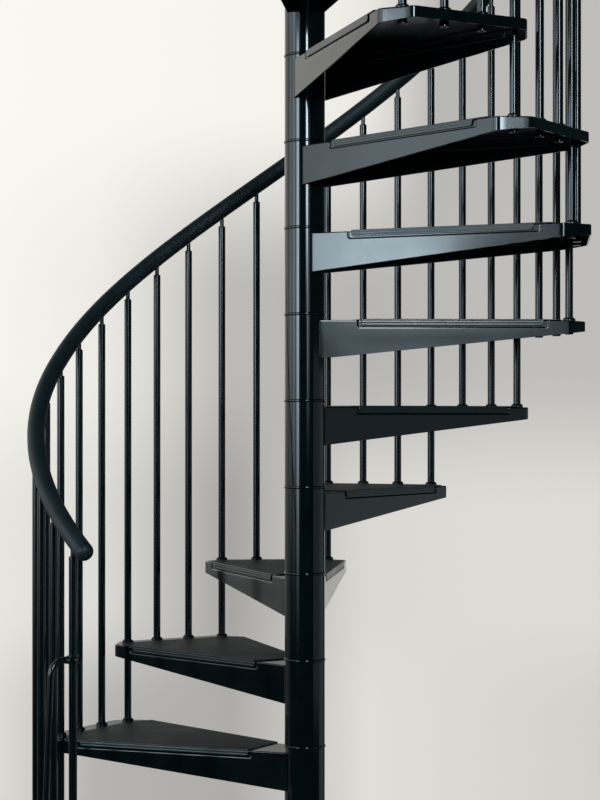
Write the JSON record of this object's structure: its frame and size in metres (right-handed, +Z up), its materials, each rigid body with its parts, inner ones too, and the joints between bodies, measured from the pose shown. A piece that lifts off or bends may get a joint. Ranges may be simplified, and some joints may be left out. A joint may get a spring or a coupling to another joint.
{
  "type": "spiral staircase",
  "caption": "Spiral staircase climbing clockwise: steel tread pans on a centre column, a cage of balusters, a helical handrail and a corner landing.",
  "frame": {"origin": "on the floor at the column's axis, the middle of the base plate's underside", "axes": "+Z up along the column; the lowest step points towards -X and a little -Y, the stair climbs clockwise seen from above, and the landing fills the -X -Y corner"},
  "size_m": [1.3958, 1.3906, 3.7449],
  "materials": {
    "black_paint": "gloss black powder coat with a cool tint",
    "cover_plastic": "satin near-black moulded plastic",
    "collar_plastic": "gloss black moulded plastic",
    "rail_plastic": "satin charcoal plastic"
  },
  "bodies": {
    "root": {"baluster_collars": "collar_plastic", "balusters_first_quarter": "black_paint", "balusters_last_quarter": "black_paint", "balusters_second_quarter": "black_paint", "balusters_third_quarter": "black_paint", "base_plate": "black_paint", "brace_clamp": "black_paint", "centre_pole": "black_paint", "column_cap": "collar_plastic", "column_rings": "black_paint", "column_sleeves": "black_paint", "cover_01": "cover_plastic", "cover_02": "cover_plastic", "cover_03": "cover_plastic", "cover_04": "cover_plastic", "cover_05": "cover_plastic", "cover_06": "cover_plastic", "cover_07": "cover_plastic", "cover_08": "cover_plastic", "cover_09": "cover_plastic", "cover_10": "cover_plastic", "cover_11": "cover_plastic", "cover_12": "cover_plastic", "handrail": "rail_plastic", "handrail_caps": "rail_plastic", "landing_cover": "cover_plastic", "landing_frame": "black_paint", "start_brace": "black_paint", "starting_baluster": "black_paint", "tread_01": "black_paint", "tread_02": "black_paint", "tread_03": "black_paint", "tread_04": "black_paint", "tread_05": "black_paint", "tread_06": "black_paint", "tread_07": "black_paint", "tread_08": "black_paint", "tread_09": "black_paint", "tread_10": "black_paint", "tread_11": "black_paint", "tread_12": "black_paint"}
  },
  "joints": []
}
